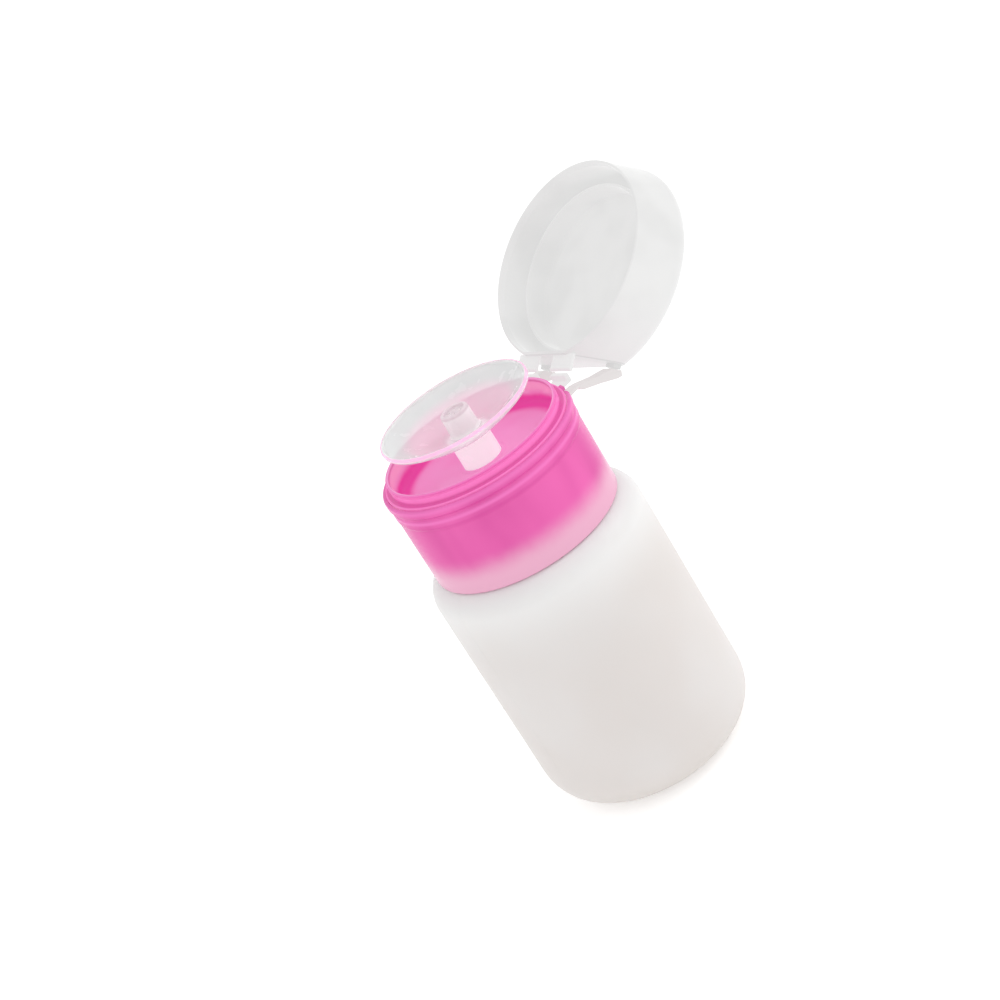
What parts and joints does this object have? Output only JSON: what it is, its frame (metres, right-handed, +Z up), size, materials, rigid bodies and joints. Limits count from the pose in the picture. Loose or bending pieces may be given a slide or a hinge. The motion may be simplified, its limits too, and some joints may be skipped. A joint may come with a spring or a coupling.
{
  "type": "push-down pump dispenser bottle",
  "caption": "Round dispenser bottle with a screw collar, a push-down pump dish that wets a cotton pad, and a flip lid on a snap hinge, shown open.",
  "frame": {"origin": "centre of the bottle's flat foot, on the surface that it stands on", "axes": "+Z up along the bottle's axis, +X from the axis towards the lid's hinge, the hinge axis runs along Y"},
  "size_m": [0.095, 0.05, 0.1145],
  "materials": {
    "bottle_plastic": "translucent milky blown plastic with a soft sheen",
    "collar_pink": "translucent pink moulded plastic, glossy",
    "well_pink": "translucent pink moulded plastic, glossy",
    "cap_plastic": "white moulded plastic",
    "hinge_white": "white moulded plastic, satin",
    "lid_white": "white moulded plastic, satin",
    "liner_white": "white moulded plastic, satin",
    "strap_white": "white flexible plastic",
    "dish_plastic": "thin translucent plastic, glossy",
    "nozzle_plastic": "white moulded plastic, glossy",
    "stem_plastic": "translucent plastic, tinted by the pink well",
    "piston_plastic": "natural moulded plastic",
    "seal_rubber": "dark seal rubber",
    "ball_steel": "polished steel ball",
    "housing_plastic": "natural moulded plastic",
    "gasket_foam": "soft sealing washer",
    "spring_steel": "spring wire",
    "tube_plastic": "clear flexible tube"
  },
  "bodies": {
    "base": {"bottle": "bottle_plastic"},
    "pump_set": {"pump_housing": "housing_plastic", "neck_gasket": "gasket_foam", "pump_retainer": "housing_plastic", "stem_wiper": "seal_rubber", "spring_seat": "housing_plastic", "return_spring": "spring_steel", "dip_tube": "tube_plastic"},
    "closure": {"inner_cap": "cap_plastic", "collar_skirt": "collar_pink", "collar_well": "well_pink", "hinge_ring": "hinge_white"},
    "lid": {"lid_shell": "lid_white", "lid_liner": "liner_white"},
    "strap_near": {"hinge_strap_near": "strap_white"},
    "strap_far": {"hinge_strap_far": "strap_white"},
    "press": {"dish": "dish_plastic", "nozzle_cap": "nozzle_plastic", "stem_sleeve": "stem_plastic", "pump_stem": "stem_plastic", "piston": "piston_plastic", "piston_seal": "seal_rubber"},
    "inlet_check": {"inlet_ball": "ball_steel"},
    "outlet_check": {"outlet_ball": "ball_steel"}
  },
  "joints": [
    {"name": "closure_lift", "type": "slide", "parent": "base", "child": "pump_set", "axis": [0, 0, 1], "range_m": [0, 0.0035]},
    {"name": "closure_turn", "type": "hinge", "parent": "pump_set", "child": "closure", "pos_m": [0, 0, 0.0793], "axis": [0, 0, 1], "range_deg": [0, 360]},
    {"name": "lid_hinge", "type": "hinge", "parent": "closure", "child": "lid", "pos_m": [0.0244, 0, 0.0861], "axis": [0, 1, 0], "range_deg": [-143.9, 0]},
    {"name": "strap_near_hinge", "type": "hinge", "parent": "closure", "child": "strap_near", "pos_m": [0.0214, -0.011, 0.0836], "axis": [0, 1, 0], "range_deg": [-106.65, 0.1]},
    {"name": "strap_far_hinge", "type": "hinge", "parent": "closure", "child": "strap_far", "pos_m": [0.0214, 0.011, 0.0836], "axis": [0, 1, 0], "range_deg": [-106.65, 0.1]},
    {"name": "dish_press", "type": "slide", "parent": "pump_set", "child": "press", "axis": [0, 0, 1], "range_m": [-0.0048, 0], "stiffness_N_per_m": 500, "springref_m": 0.004, "deforming": ["return_spring"]},
    {"name": "inlet_lift", "type": "slide", "parent": "pump_set", "child": "inlet_check", "axis": [0, 0, 1], "range_m": [0, 0.001]},
    {"name": "outlet_lift", "type": "slide", "parent": "press", "child": "outlet_check", "axis": [0, 0, 1], "range_m": [0, 0.00045]}
  ],
  "couplings": [
    {"joint": "closure_lift", "follows": "closure_turn", "m_per_rad": 0.00055704},
    {"joint": "strap_near_hinge", "follows": "lid_hinge", "ratio": 0.7404},
    {"joint": "strap_far_hinge", "follows": "lid_hinge", "ratio": 0.7404}
  ]
}
